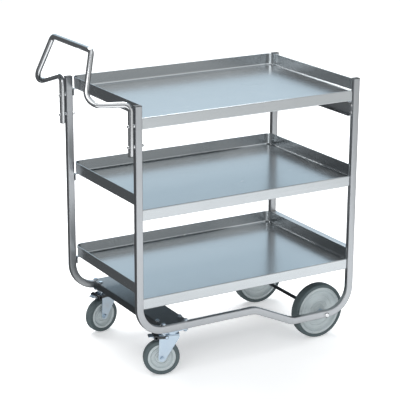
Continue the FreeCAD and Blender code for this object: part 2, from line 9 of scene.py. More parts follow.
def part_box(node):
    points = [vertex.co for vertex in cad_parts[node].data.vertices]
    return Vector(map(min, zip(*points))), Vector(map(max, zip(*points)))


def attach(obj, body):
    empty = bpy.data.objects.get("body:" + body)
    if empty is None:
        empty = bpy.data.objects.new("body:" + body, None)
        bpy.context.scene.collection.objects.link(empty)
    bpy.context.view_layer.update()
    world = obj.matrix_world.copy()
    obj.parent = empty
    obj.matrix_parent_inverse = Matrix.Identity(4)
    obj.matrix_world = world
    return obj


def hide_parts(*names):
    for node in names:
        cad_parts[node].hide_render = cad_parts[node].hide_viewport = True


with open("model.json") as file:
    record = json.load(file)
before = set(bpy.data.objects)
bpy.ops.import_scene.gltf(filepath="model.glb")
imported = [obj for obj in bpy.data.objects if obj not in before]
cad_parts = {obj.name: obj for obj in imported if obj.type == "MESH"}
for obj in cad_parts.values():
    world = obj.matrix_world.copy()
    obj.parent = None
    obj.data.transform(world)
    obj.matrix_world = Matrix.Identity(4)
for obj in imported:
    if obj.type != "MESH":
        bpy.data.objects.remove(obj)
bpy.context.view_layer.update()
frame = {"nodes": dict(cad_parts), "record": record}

# Service cart in stainless steel. Metres: X runs from the push handle to the big wheels,
# Y from the front side to the back side, Z up from the floor.
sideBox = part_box("front_side_frame")
middleX = (sideBox[0][0] + sideBox[1][0]) / 2
frontY = sideBox[0][1]
halfLength = (sideBox[1][0] - sideBox[0][0]) / 2
joints = {joint["name"]: joint for joint in frame["record"]["behaviour"]["joints"]}


# Shader maths: a wrapped socket that can be used in plain expressions

class Value:
    def __init__(self, finish, socket):
        self.finish = finish
        self.socket = socket

    def math(self, operation, *terms):
        return self.finish.node("ShaderNodeMath", {"operation": operation}, list(terms))

    def __add__(self, other):
        return self.math("ADD", self, other)

    def __radd__(self, other):
        return self.math("ADD", other, self)

    def __sub__(self, other):
        return self.math("SUBTRACT", self, other)

    def __rsub__(self, other):
        return self.math("SUBTRACT", other, self)

    def __mul__(self, other):
        return self.math("MULTIPLY", self, other)

    def __rmul__(self, other):
        return self.math("MULTIPLY", other, self)

    def __truediv__(self, other):
        return self.math("DIVIDE", self, other)

    def __pow__(self, other):
        return self.math("POWER", self, other)

    def __abs__(self):
        return self.math("ABSOLUTE", self)

    def sine(self):
        return self.math("SINE", self)

    def smooth(self, low, high):
        # 0 below low, 1 above high, soft between them
        return self.finish.node("ShaderNodeMapRange", {"interpolation_type": "SMOOTHSTEP"},
                                [self, low, high, 0.0, 1.0])


class Tree:
    def __init__(self, tree):
        self.tree = tree
        self.tree.nodes.clear()

    def node(self, kind, settings=None, inputs=None, output=0):
        made = self.tree.nodes.new(kind)
        for key, value in (settings or {}).items():
            setattr(made, key, value)
        pairs = inputs.items() if isinstance(inputs, dict) else enumerate(inputs or [])
        for key, value in pairs:
            if isinstance(value, Value):
                self.tree.links.new(value.socket, made.inputs[key])
            elif value is not None:
                made.inputs[key].default_value = value
        return Value(self, made.outputs[output]) if made.outputs else None

    def vector(self, x, y, z):
        return self.node("ShaderNodeCombineXYZ", inputs=[x, y, z])


class Finish(Tree):
    def __init__(self, name):
        self.material = bpy.data.materials.new(name)
        self.material.use_nodes = True
        super().__init__(self.material.node_tree)

    def coords(self, kind="Object"):
        return self.node("ShaderNodeTexCoord", output=kind)

    def parts(self, vector):
        made = self.tree.nodes.new("ShaderNodeSeparateXYZ")
        self.tree.links.new(vector.socket, made.inputs[0])
        return [Value(self, made.outputs[k]) for k in range(3)]

    def noise(self, vector, scale, detail=3.0, rough=0.5, warp=0.0):
        return self.node("ShaderNodeTexNoise", inputs={
            "Vector": vector, "Scale": scale, "Detail": detail, "Roughness": rough, "Distortion": warp})

    def cells(self, vector, scale):
        return self.node("ShaderNodeTexVoronoi", {"feature": "DISTANCE_TO_EDGE"},
                         {"Vector": vector, "Scale": scale})

    def mix(self, factor, first, second, mode="MIX"):
        return self.node("ShaderNodeMix", {"data_type": "RGBA", "blend_type": mode},
                         {0: factor, 6: first, 7: second}, output=2)

    def bump(self, height, strength, distance):
        return self.node("ShaderNodeBump",
                         inputs={"Height": height, "Strength": strength, "Distance": distance})

    def surface(self, **sockets):
        names = {"colour": "Base Color", "metallic": "Metallic", "roughness": "Roughness", "normal": "Normal",
                 "coat": "Coat Weight", "coatRoughness": "Coat Roughness", "ior": "IOR",
                 "glow": "Emission Color", "glowStrength": "Emission Strength"}
        shader = self.node("ShaderNodeBsdfPrincipled",
                           inputs={names[key]: value for key, value in sockets.items()})
        self.node("ShaderNodeOutputMaterial", inputs=[shader])
        return self.material


def rgb(red, green, blue):
    return (red, green, blue, 1.0)


# Finishes

shelfSteel = {"base": rgb(0.52, 0.545, 0.56), "dull": rgb(0.43, 0.455, 0.47), "roughness": 0.16,
              "grain": 900.0, "along": 5.0}


def shelfFinish(look):
    # Sheet brushed along the cart; the grain turns upright where the ends are folded up
    finish = Finish("brushedSheetSteel")
    spot = finish.coords()
    x, y, z = finish.parts(spot)
    facing = finish.node("ShaderNodeNewGeometry", output="True Normal")
    endOn = abs(finish.parts(facing)[0]).smooth(0.5, 0.9)
    upright = look["grain"] + endOn * (look["along"] - look["grain"])
    fine = finish.noise(finish.vector(x * look["along"], y * look["grain"], z * upright), 1.0, 4.0, 0.6)
    streak = finish.noise(finish.vector(x * 3.0, y * 140.0, z * (140.0 - endOn * 137.0)), 1.0, 3.0, 0.55)
    cloud = finish.noise(spot, 5.5, 4.0, 0.6, 0.4)
    smear = finish.noise(finish.vector(x * 14.0, y * 22.0, z * 22.0), 1.0, 5.0, 0.65, 1.2).smooth(0.52, 0.74)
    scratch = finish.noise(finish.vector(x * 22.0 + y * 9.0, y * 260.0 - x * 60.0, z * 60.0), 1.0, 2.0)
    scratch = scratch.smooth(0.70, 0.76) * finish.noise(spot, 9.0).smooth(0.45, 0.65)
    colour = finish.mix(cloud * 0.35 + streak * 0.25, look["base"], look["dull"])
    colour = finish.mix(scratch * 0.2, colour, rgb(0.66, 0.68, 0.70))
    roughness = look["roughness"] + fine * 0.06 + streak * 0.05 + smear * 0.05 + scratch * 0.07
    wave = finish.noise(spot, 2.6, 1.0)
    relief = finish.bump(fine * 0.22 + scratch * -0.3, 0.3, 0.00006)
    relief = finish.node("ShaderNodeBump", inputs={"Height": wave, "Strength": 0.5, "Distance": 0.0022,
                                                   "Normal": relief})
    return finish.surface(colour=colour, metallic=1.0, roughness=roughness, normal=relief)


def tubeFinish(name, base, dull, roughness, grain=1500.0, along=9.0, polish=0.0):
    # Grain follows the tube: the pieces' own UV map is length by girth, in metres
    finish = Finish(name)
    uv = finish.coords("UV")
    spot = finish.coords()
    u, v = finish.parts(uv)[:2]
    fine = finish.noise(finish.vector(u * along, v * grain, 0.0), 1.0, 4.0, 0.6)
    streak = finish.noise(finish.vector(u * 4.0, v * 260.0, 0.0), 1.0, 3.0)
    cloud = finish.noise(spot, 14.0, 4.0, 0.6, 0.3)
    smear = finish.noise(spot, 38.0, 5.0, 0.6, 1.5).smooth(0.55, 0.72)
    nick = finish.noise(finish.vector(u * 60.0, v * 420.0, 0.0), 1.0, 1.0).smooth(0.76, 0.8)
    colour = finish.mix(cloud * 0.4 + streak * 0.25, base, dull)
    colour = finish.mix(nick * 0.4, colour, rgb(0.3, 0.3, 0.3))
    rough = roughness + (fine * 0.08 + streak * 0.05) * (1.0 - polish) + smear * 0.07 + nick * 0.2
    relief = finish.bump(fine * (1.0 - polish) + nick * -0.8, 0.3, 0.00008)
    return finish.surface(colour=colour, metallic=1.0, roughness=rough, normal=relief)


def barFinish(name, base, dull, roughness, grain=(9.0, 900.0, 900.0), blotch=40.0):
    # Flat-rolled and machined steel whose grain lies along one axis of the cart
    finish = Finish(name)
    spot = finish.coords()
    x, y, z = finish.parts(spot)
    fine = finish.noise(finish.vector(x * grain[0], y * grain[1], z * grain[2]), 1.0, 4.0, 0.6)
    cloud = finish.noise(spot, blotch, 4.0, 0.6, 0.5)
    stain = finish.noise(spot, blotch * 2.6, 5.0, 0.7, 1.0).smooth(0.56, 0.74)
    colour = finish.mix(cloud * 0.7, base, dull)
    colour = finish.mix(stain * 0.35, colour, rgb(0.30, 0.30, 0.31))
    rough = roughness + fine * 0.10 + stain * 0.14
    relief = finish.bump(fine * 0.6 + cloud * 0.4, 0.3, 0.0001)
    return finish.surface(colour=colour, metallic=1.0, roughness=rough, normal=relief)


def zincFinish():
    # Clear zinc plating: bluish, faintly mottled, whiter bloom in patches
    finish = Finish("clearZinc")
    spot = finish.coords()
    mottle = finish.noise(spot, 95.0, 5.0, 0.65, 0.6)
    bloom = finish.noise(spot, 26.0, 4.0, 0.6, 0.8).smooth(0.48, 0.70)
    pore = finish.noise(spot, 900.0, 2.0)
    colour = finish.mix(mottle, rgb(0.42, 0.53, 0.64), rgb(0.54, 0.62, 0.69))
    colour = finish.mix(bloom * 0.40, colour, rgb(0.66, 0.70, 0.72))
    rough = 0.26 + mottle * 0.10 + bloom * 0.16
    relief = finish.bump(pore * 0.4 + mottle * 0.6, 0.25, 0.00012)
    return finish.surface(colour=colour, metallic=0.92, roughness=rough, normal=relief)


def wheelSpace(finish, joint):
    # Turns a wheel's own axis onto Z, so that patterns can follow its circles
    place = joints[joint]
    axis = Vector(place["axis"])
    turn = axis.rotation_difference(Vector((0, 0, 1))).to_euler()
    moved = finish.node("ShaderNodeVectorMath", {"operation": "SUBTRACT"},
                        [finish.coords(), tuple(place["pos_m"])])
    return finish.node("ShaderNodeMapping", {"vector_type": "POINT"},
                       {"Vector": moved, "Rotation": tuple(turn)})


def rubberFinish(name, joint, radius):
    finish = Finish(name)
    local = wheelSpace(finish, joint)
    x, y = finish.parts(local)[:2]
    reach = (x * x + y * y) ** 0.5
    grit = finish.noise(local, 1400.0, 3.0, 0.6)
    patch = finish.noise(local, 30.0, 5.0, 0.65, 0.5)
    tread = reach.smooth(radius - 0.004, radius - 0.0005)
    dust = patch.smooth(0.35, 0.75) * (0.35 + tread * 0.65)
    scuff = finish.noise(local, 160.0, 3.0, 0.6, 1.0).smooth(0.58, 0.72) * tread
    colour = finish.mix(patch * 0.6, rgb(0.066, 0.094, 0.100), rgb(0.092, 0.122, 0.128))
    colour = finish.mix(dust * 0.30, colour, rgb(0.145, 0.160, 0.162))
    colour = finish.mix(scuff * 0.35, colour, rgb(0.022, 0.022, 0.024))
    rings = (reach * 2600.0).sine() * (1.0 - tread)
    relief = finish.bump(grit * 0.5 + rings * 0.25 + scuff * -0.6, 0.35, 0.00025)
    return finish.surface(colour=colour, roughness=0.55 + dust * 0.25 + grit * 0.08, normal=relief, ior=1.5)


def hubFinish(name, joint, radius):
    # Pale moulded plastic with random dust patches, rub marks near the tyre, and colour darker towards the
    # axle bore
    finish = Finish(name)
    local = wheelSpace(finish, joint)
    x, y = finish.parts(local)[:2]
    reach = (x * x + y * y) ** 0.5
    grain = finish.noise(local, 700.0, 3.0, 0.6)
    patch = finish.noise(local, 24.0, 5.0, 0.65, 0.6)
    rub = reach.smooth(radius * 0.84, radius) * finish.noise(local, 130.0, 4.0, 0.65).smooth(0.35, 0.7)
    # Colour is made darker towards the axle bore
    bore = 1.0 - reach.smooth(radius * 0.16, radius * 0.42)
    grimeAndDarkerCentre = (patch.smooth(0.45, 0.75) * 0.4 + bore * 0.5 + rub * 0.45)
    colour = finish.mix(patch * 0.5, rgb(0.47, 0.53, 0.545), rgb(0.57, 0.625, 0.63))
    colour = finish.mix(grimeAndDarkerCentre * 0.42, colour, rgb(0.27, 0.28, 0.27))
    scrape = finish.noise(finish.vector(reach * 900.0, x * 12.0, y * 12.0), 1.0, 2.0).smooth(0.6, 0.75)
    relief = finish.bump(grain * 0.5 + scrape * -0.5, 0.3, 0.0002)
    rough = 0.22 + grimeAndDarkerCentre * 0.25 + scrape * 0.1
    return finish.surface(colour=colour, roughness=rough, normal=relief, ior=1.49)


def mouldedFinish(name, base, worn):
    finish = Finish(name)
    spot = finish.coords()
    leather = finish.cells(spot, 900.0)
    patch = finish.noise(spot, 120.0, 4.0, 0.6)
    colour = finish.mix(patch, base, worn)
    relief = finish.bump(leather.smooth(0.0, 0.2) + patch * 0.3, 0.25, 0.00015)
    return finish.surface(colour=colour, roughness=0.42 + patch * 0.16, normal=relief, ior=1.5)


def weldFinish():
    finish = Finish("weldBead")
    spot = finish.coords()
    heat = finish.noise(spot, 210.0, 4.0, 0.6)
    ripple = finish.noise(spot, 900.0, 2.0)
    colour = finish.mix(heat.smooth(0.35, 0.7), rgb(0.55, 0.54, 0.52), rgb(0.36, 0.31, 0.27))
    return finish.surface(colour=colour, metallic=1.0, roughness=0.3 + heat * 0.2,
                          normal=finish.bump(ripple, 0.4, 0.0002))


finishes = {
    "shelf_steel": shelfFinish(shelfSteel),
    "frame_tube": tubeFinish("satinTube", rgb(0.45, 0.465, 0.48), rgb(0.35, 0.365, 0.38), 0.24),
    "handle_chrome": tubeFinish("chromedTube", rgb(0.66, 0.67, 0.68), rgb(0.55, 0.56, 0.575), 0.09,
                                grain=2200.0, along=2200.0, polish=0.7),
    "frame_steel": barFinish("satinBar", rgb(0.51, 0.525, 0.54), rgb(0.40, 0.415, 0.43), 0.26,
                             (900.0, 9.0, 900.0)),
    "bright_fastener": barFinish("brightPlated", rgb(0.70, 0.71, 0.72), rgb(0.58, 0.59, 0.60), 0.10,
                                 (500.0, 500.0, 500.0), 260.0),
    "zinc_steel": zincFinish(),
    "bearing_steel": barFinish("groundSteel", rgb(0.50, 0.50, 0.51), rgb(0.36, 0.36, 0.37), 0.20,
                               (1200.0, 20.0, 1200.0), 200.0),
    "dark_steel": barFinish("blackenedSteel", rgb(0.050, 0.055, 0.060), rgb(0.085, 0.09, 0.095), 0.34,
                             (500.0, 500.0, 500.0), 180.0),
    # The cross plate's steel is painted very dark as painted shade and a painted dark reflection of the shelf
    # underside above it
    "plate_steel": barFinish("oiledSteel", rgb(0.20, 0.22, 0.235), rgb(0.13, 0.145, 0.155), 0.34,
                             (900.0, 9.0, 900.0)),
    "dark_plastic": mouldedFinish("darkMoulded", rgb(0.016, 0.017, 0.019), rgb(0.032, 0.033, 0.035)),
}
print("finishes made:", len(finishes) + 1)

for part in frame["record"]["subparts"]:
    material = finishes.get(part["material_slot"])
    if material:
        node = frame["nodes"][part["node"]]
        for slot in node.material_slots:
            slot.material = material
print("carried-over parts finished")


# Mesh helpers

def meshObject(name, shape, material, sharp=35.0):
    bmesh.ops.remove_doubles(shape, verts=shape.verts, dist=1e-6)
    bmesh.ops.recalc_face_normals(shape, faces=shape.faces)
    mesh = bpy.data.meshes.new(name)
    shape.to_mesh(mesh)
    shape.free()
    mesh.shade_smooth()
    mesh.set_sharp_from_angle(angle=math.radians(sharp))
    mesh.materials.append(material)
    made = bpy.data.objects.new(name, mesh)
    bpy.context.scene.collection.objects.link(made)
    return made


def roundedLine(points, radii, step=math.radians(4)):
    # Straight runs with tangent arcs; arcs are cut into short chords
    points = [Vector(point) for point in points]
    line = [points[0]]
    for first, corner, last, radius in zip(points, points[1:], points[2:], radii):
        before = (corner - first).normalized()
        after = (last - corner).normalized()
        turn = before.angle(after)
        tangent = radius * math.tan(turn / 2)
        start = corner - before * tangent
        inward = (after - before * before.dot(after)).normalized()
        centre = start + inward * radius
        count = max(2, math.ceil(turn / step))
        for k in range(count + 1):
            angle = turn * k / count
            line.append(centre - inward * radius * math.cos(angle) + before * radius * math.sin(angle))
    line.append(points[-1])
    return line


def sweep(shape, line, profile, across):
    # Closed profile along a line, with a UV map of length by girth; across is the profile's first axis
    uvLayer = shape.loops.layers.uv.verify()
    girth = [0.0]
    ringCount = len(profile)
    for k in range(ringCount):
        a, b = Vector(profile[k]), Vector(profile[(k + 1) % ringCount])
        girth.append(girth[-1] + (b - a).length)
    rings = []
    lengths = [0.0]
    side = Vector(across).normalized()
    for k, point in enumerate(line):
        ahead = line[min(k + 1, len(line) - 1)] - line[max(k - 1, 0)]
        ahead.normalize()
        side = (side - ahead * side.dot(ahead)).normalized()
        up = ahead.cross(side)
        rings.append([shape.verts.new(point + side * a + up * b) for a, b in profile])
        if k:
            lengths.append(lengths[-1] + (point - line[k - 1]).length)
    for k in range(len(line) - 1):
        for j in range(ringCount):
            i = (j + 1) % ringCount
            face = shape.faces.new((rings[k][j], rings[k][i], rings[k + 1][i], rings[k + 1][j]))
            spots = ((lengths[k], girth[j]), (lengths[k], girth[j + 1]),
                     (lengths[k + 1], girth[j + 1]), (lengths[k + 1], girth[j]))
            for loop, spot in zip(face.loops, spots):
                loop[uvLayer].uv = spot
    shape.faces.new(list(reversed(rings[0])))
    shape.faces.new(rings[-1])


def softRectangle(width, height, radius, steps=5):
    corners = []
    for k, (sx, sy) in enumerate(((1, 1), (-1, 1), (-1, -1), (1, -1))):
        for j in range(steps + 1):
            angle = math.pi / 2 * (k + j / steps)
            corners.append((sx * (width / 2 - radius) + radius * math.cos(angle),
                            sy * (height / 2 - radius) + radius * math.sin(angle)))
    return corners


def roundProfile(radius, count=36):
    return [(radius * math.cos(2 * math.pi * k / count), radius * math.sin(2 * math.pi * k / count))
            for k in range(count)]


def lathe(shape, outline, place, count=128):
    # Closed (radius, height) outline turned about Z, then moved by a matrix
    uvLayer = shape.loops.layers.uv.verify()
    rings = []
    for k in range(count):
        angle = 2 * math.pi * k / count
        rings.append([shape.verts.new(place @ Vector((r * math.cos(angle), r * math.sin(angle), h)))
                      for r, h in outline])
    walk = [0.0]
    for first, second in zip(outline, outline[1:] + outline[:1]):
        walk.append(walk[-1] + math.dist(first, second))
    for k in range(count):
        nextRing = rings[(k + 1) % count]
        for j in range(len(outline)):
            i = (j + 1) % len(outline)
            face = shape.faces.new((rings[k][j], nextRing[j], nextRing[i], rings[k][i]))
            spots = ((k, walk[j]), (k + 1, walk[j]), (k + 1, walk[j + 1]), (k, walk[j + 1]))
            for loop, (turn, across) in zip(face.loops, spots):
                loop[uvLayer].uv = (turn / count, across)


def rounded(outline, radius, steps=4):
    # Softens the corners of an open (radius, height) line
    soft = [outline[0]]
    for first, corner, last in zip(outline, outline[1:], outline[2:]):
        a, b, c = Vector(first), Vector(corner), Vector(last)
        reach = min(radius, (b - a).length * 0.45, (c - b).length * 0.45)
        start = b + (a - b).normalized() * reach
        end = b + (c - b).normalized() * reach
        for k in range(steps + 1):
            t = k / steps
            soft.append(tuple(start * (1 - t) ** 2 + b * 2 * t * (1 - t) + end * t ** 2))
    soft.append(outline[-1])
    return soft


def bothHalves(half):
    return half + [(r, -h) for r, h in reversed(half)]


# Side frames: one bent tube on each side

sideFrame = {"long": 0.0254, "deep": 0.01905, "soft": 0.0032, "wall": 0.0015, "postTop": 0.960,
             "upperRail": 0.1765, "lowerRail": 0.1046, "jogStart": 0.027, "jogEnd": 0.186,
             "bend": 0.0923, "jog": 0.080}


def sideFramePiece(name, node, y):
    f = sideFrame
    post = halfLength - f["long"] / 2
    corners = [(-post, f["postTop"]), (-post, f["upperRail"]), (f["jogStart"], f["upperRail"]),
               (f["jogEnd"], f["lowerRail"]), (post, f["lowerRail"]), (post, f["postTop"])]
    points = [(middleX + x, y, z) for x, z in corners]
    line = roundedLine(points, [f["bend"], f["jog"], f["jog"], f["bend"]], math.radians(3))
    shape = bmesh.new()
    sweep(shape, line, softRectangle(f["deep"], f["long"], f["soft"]), (0, 1, 0))
    piece = meshObject(name, shape, finishes["frame_tube"])
    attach(piece, "cart")
    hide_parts(node)


railY = frontY + sideFrame["deep"] / 2
for side, y in (("front", railY), ("back", -railY)):
    sideFramePiece(side + "BentTube", side + "_side_frame", y)
print("side frames bent")


# Push handle: a round chromed tube

pushHandle = {"radius": 0.0095, "legEnd": 0.799, "legTop": 0.969, "elbow": (-0.588, 0.196, 0.9665),
              "bar": (-0.5347, 0.145, 1.1317), "bends": (0.024, 0.045, 0.020), "gap": 0.003}


def pushHandlePiece():
    h = pushHandle
    legX = middleX - halfLength - h["gap"] - h["radius"]
    legY = -railY
    half = [(legX, legY, h["legEnd"]), (legX, legY, h["legTop"]),
            (middleX + h["elbow"][0], h["elbow"][1], h["elbow"][2]),
            (middleX + h["bar"][0], h["bar"][1], h["bar"][2])]
    points = [(x, -y, z) for x, y, z in half] + list(reversed(half))
    line = roundedLine(points, list(h["bends"]) + list(reversed(h["bends"])), math.radians(4))
    shape = bmesh.new()
    sweep(shape, line, roundProfile(h["radius"]), (0, 1, 0))
    piece = meshObject("pushHandleTube", shape, finishes["handle_chrome"])
    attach(piece, "cart")
    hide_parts("push_handle")


pushHandlePiece()
print("push handle bent")


# Wheels

bigWheel = {"radius": 0.1016, "seat": 0.088, "tread": 0.038, "half": 0.022, "bore": 0.00952}
casterWheel = {"radius": 0.0635, "seat": 0.0485, "tread": 0.032, "half": 0.017, "bore": 0.009}


def wheelPlace(joint):
    place = joints[joint]
    turn = Vector((0, 0, 1)).rotation_difference(Vector(place["axis"]))
    return Matrix.Translation(Vector(place["pos_m"])) @ turn.to_matrix().to_4x4()


def tyrePiece(name, node, body, joint, wheel):
    inner, outer, half = wheel["seat"] + 0.00002, wheel["radius"], wheel["tread"] / 2
    crown = outer - inner
    section = [(inner, half - 0.0022), (inner + 0.0012, half - 0.0006), (inner + 0.002, half - 0.0003),
               (inner + 0.26 * crown, half), (inner + 0.30 * crown, half - 0.0005),
               (inner + 0.36 * crown, half - 0.0005), (inner + 0.40 * crown, half),
               (outer - 0.30 * crown, half - 0.0003), (outer - 0.12 * crown, half * 0.86),
               (outer - 0.035 * crown, half * 0.62), (outer - 0.0003, half * 0.30)]
    flash = [(outer - 0.0003, 0.0007), (outer, 0.0003)]
    outline = bothHalves(rounded(section, 0.0022) + flash)
    shape = bmesh.new()
    lathe(shape, outline, wheelPlace(joint))
    piece = meshObject(name, shape, rubberFinish(name + "Rubber", joint, outer), 50.0)
    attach(piece, body)
    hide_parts(node)


def hubPiece(name, node, body, joint, wheel, face):
    outline = bothHalves(rounded(face, 0.0016))
    shape = bmesh.new()
    lathe(shape, outline, wheelPlace(joint))
    piece = meshObject(name, shape, hubFinish(name + "Plastic", joint, wheel["seat"]), 50.0)
    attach(piece, body)
    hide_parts(node)


bigFace = [(0.00952, 0.022), (0.0195, 0.022), (0.0215, 0.0206), (0.0228, 0.0120), (0.0262, 0.0098),
           (0.0330, 0.0098), (0.0345, 0.0112), (0.0372, 0.0112), (0.0388, 0.0088), (0.0470, 0.0074),
           (0.0560, 0.0070), (0.0575, 0.0086), (0.0600, 0.0086), (0.0618, 0.0072), (0.0690, 0.0082),
           (0.0745, 0.0112), (0.0785, 0.0160), (0.0808, 0.0172), (0.0838, 0.0172), (0.0852, 0.0158),
           (0.0880, 0.0158)]
casterFace = [(0.009, 0.017), (0.0138, 0.017), (0.0150, 0.0158), (0.0162, 0.0080), (0.0192, 0.0058),
              (0.0225, 0.0058), (0.0238, 0.0086), (0.0264, 0.0086), (0.0278, 0.0056), (0.0335, 0.0056),
              (0.0365, 0.0080), (0.0392, 0.0128), (0.0412, 0.0148), (0.0442, 0.0148), (0.0452, 0.0136),
              (0.0485, 0.0136)]

for side in ("front", "back"):
    for label, node, body, joint, wheel, face in (
            ("Big", "_big", "_big_wheel_body", "_big_wheel_roll", bigWheel, bigFace),
            ("Caster", "_caster", "_caster_wheel_body", "_caster_roll", casterWheel, casterFace)):
        tyrePiece(side + label + "Tyre", side + node + "_tyre", side + body, side + joint, wheel)
        hubPiece(side + label + "Hub", side + node + "_hub", side + body, side + joint, wheel, face)
print("wheels turned")


# Repeated details, made with geometry nodes

class Repeater(Tree):
    def __init__(self, name, inputs):
        group = bpy.data.node_groups.new(name, "GeometryNodeTree")
        super().__init__(group)
        group.interface.new_socket("Geometry", in_out="INPUT", socket_type="NodeSocketGeometry")
        self.keys = {}
        for key, kind in inputs.items():
            socket = group.interface.new_socket(key, in_out="INPUT", socket_type="NodeSocket" + kind)
            self.keys[key] = socket.identifier
        group.interface.new_socket("Geometry", in_out="OUTPUT", socket_type="NodeSocketGeometry")
        self.entry = group.nodes.new("NodeGroupInput")

    def given(self, key):
        return Value(self, self.entry.outputs[key])

    def named(self, name, kind):
        return self.node("GeometryNodeInputNamedAttribute", {"data_type": kind}, [name])

    def random(self, low, high):
        return self.node("FunctionNodeRandomValue", {"data_type": "FLOAT"},
                         {2: low, 3: high, "Seed": self.given("Seed")}, output=1)

    def close(self, geometry, material):
        real = self.node("GeometryNodeRealizeInstances", inputs=[geometry])
        painted = self.node("GeometryNodeSetMaterial", inputs={"Geometry": real, "Material": material})
        self.node("NodeGroupOutput", inputs=[painted])


def repeatedPiece(name, body, repeater, values, verts, edges=(), marks=None):
    # Runs the repeater on a mesh of points or lines and keeps the result as a plain mesh
    source = bpy.data.meshes.new(name + "Places")
    source.from_pydata(verts, edges, [])
    for key, (kind, field, rows) in (marks or {}).items():
        layer = source.attributes.new(key, kind, "POINT")
        for item, row in zip(layer.data, rows):
            setattr(item, field, row)
    piece = bpy.data.objects.new(name, source)
    bpy.context.scene.collection.objects.link(piece)
    modifier = piece.modifiers.new("repeat", "NODES")
    modifier.node_group = repeater.tree
    for key, value in values.items():
        modifier[repeater.keys[key]] = value
    graph = bpy.context.evaluated_depsgraph_get()
    plain = bpy.data.meshes.new_from_object(piece.evaluated_get(graph))
    piece.modifiers.remove(modifier)
    piece.data = plain
    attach(piece, body)
    print(name, len(plain.polygons), "faces")


welds = {"Step": 0.0011, "Across": 0.0012, "Along": 0.0009, "Seed": 5}
weldPlaces = {"corner": 0.003, "sink": 0.0004, "offPost": 0.0008, "y": 0.2574, "low": 0.021, "high": 0.003}
tray = {"rim": 0.0415, "sheet": 0.0012, "tab": 0.003}


def weldRepeater():
    tree = Repeater("weldRipples", {"Step": "Float", "Across": "Float", "Along": "Float", "Seed": "Int"})
    curve = tree.node("GeometryNodeMeshToCurve", inputs=[tree.given("Geometry")])
    points = tree.tree.nodes.new("GeometryNodeCurveToPoints")
    points.mode = "LENGTH"
    tree.tree.links.new(curve.socket, points.inputs["Curve"])
    tree.tree.links.new(tree.given("Step").socket, points.inputs["Length"])
    drop = tree.node("GeometryNodeMeshIcoSphere", inputs={"Radius": 1.0, "Subdivisions": 2})
    drop = tree.node("GeometryNodeSetShadeSmooth", inputs=[drop])
    across = tree.given("Across") * tree.random(0.86, 1.0)
    size = tree.vector(across, across, tree.given("Along"))
    beads = tree.node("GeometryNodeInstanceOnPoints", inputs={
        "Points": Value(tree, points.outputs["Points"]), "Instance": drop,
        "Rotation": Value(tree, points.outputs["Rotation"]), "Scale": size})
    tree.close(beads, weldFinish())
    return tree


def weldLines():
    # Round both ends of the cross tube, and up the free edge of every shelf tab
    w = weldPlaces
    lines = []
    tube = [Vector(corner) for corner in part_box("lower_cross_tube")]
    centre = (tube[0] + tube[1]) / 2
    half = (tube[1] - tube[0]) / 2
    ring = softRectangle(2 * (half.x - welds["Across"]), 2 * half.z, w["corner"], 4)
    for side in (-1, 1):
        y = side * (half.y - w["sink"])
        lines.append(([(centre.x + x, y, centre.z + z) for x, z in ring], True))
    inner = halfLength - sideFrame["long"]
    for shelf in ("top_shelf", "middle_shelf", "bottom_shelf"):
        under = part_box(shelf)[1][2] - tray["rim"] - tray["sheet"] - tray["tab"]
        for end in (-1, 1):
            for side in (-1, 1):
                x = middleX + end * (inner - w["offPost"])
                y = side * w["y"]
                lines.append(([(x, y, under - w["low"]), (x, y, under - w["high"])], False))
    return lines


def weldPiece():
    verts, edges = [], []
    for points, closed in weldLines():
        first = len(verts)
        verts += points
        edges += [(first + k, first + k + 1) for k in range(len(points) - 1)]
        if closed:
            edges.append((len(verts) - 1, first))
    repeatedPiece("weldRipples", "cart", weldRepeater(), welds, verts, edges)


weldPiece()

washers = {"Teeth": 14, "Ring": 0.0082, "Thick": 0.0009, "Tooth": 0.0016, "Seed": 3}
washerSpots = {"stepX": 0.043, "stepY": 0.0212, "off": 0.00045, "offPost": 0.0004, "offWeb": 0.0029,
               "inFromEnd": 0.005, "small": 0.77}


def washerRepeater():
    tree = Repeater("toothedWashers", {"Teeth": "Int", "Ring": "Float", "Thick": "Float", "Tooth": "Float",
                                       "Seed": "Int"})
    ring, thick, tooth = tree.given("Ring"), tree.given("Thick"), tree.given("Tooth")
    circle = tree.node("GeometryNodeCurvePrimitiveCircle", {"mode": "RADIUS"},
                       {"Resolution": 48, "Radius": ring})
    section = tree.node("GeometryNodeCurvePrimitiveQuadrilateral", inputs={"Width": thick, "Height": thick})
    band = tree.node("GeometryNodeCurveToMesh", inputs={"Curve": circle, "Profile Curve": section})
    rim = tree.node("GeometryNodeMeshCircle", inputs={"Vertices": tree.given("Teeth"),
                                                      "Radius": ring + thick * 0.7})
    wedge = tree.node("GeometryNodeMeshCube", inputs={"Size": tree.vector(tooth, tooth * 0.7, thick * 0.8)})
    outward = tree.node("FunctionNodeAlignRotationToVector", {"axis": "X"},
                        {"Vector": tree.node("GeometryNodeInputPosition")})
    teeth = tree.node("GeometryNodeInstanceOnPoints",
                      inputs={"Points": rim, "Instance": wedge, "Rotation": outward})
    whole = tree.tree.nodes.new("GeometryNodeJoinGeometry")
    for part in (teeth, band):
        tree.tree.links.new(part.socket, whole.inputs[0])
    spin = tree.vector(0.0, 0.0, tree.random(0.0, 0.4))
    facing = tree.node("FunctionNodeAlignRotationToVector", {"axis": "Z"},
                       {"Rotation": spin, "Vector": tree.named("axis", "FLOAT_VECTOR")})
    points = tree.node("GeometryNodeMeshToPoints", inputs=[tree.given("Geometry")])
    placed = tree.node("GeometryNodeInstanceOnPoints", inputs={
        "Points": points, "Instance": Value(tree, whole.outputs[0]), "Rotation": facing,
        "Scale": tree.named("size", "FLOAT")})
    tree.close(placed, finishes["bright_fastener"])
    return tree


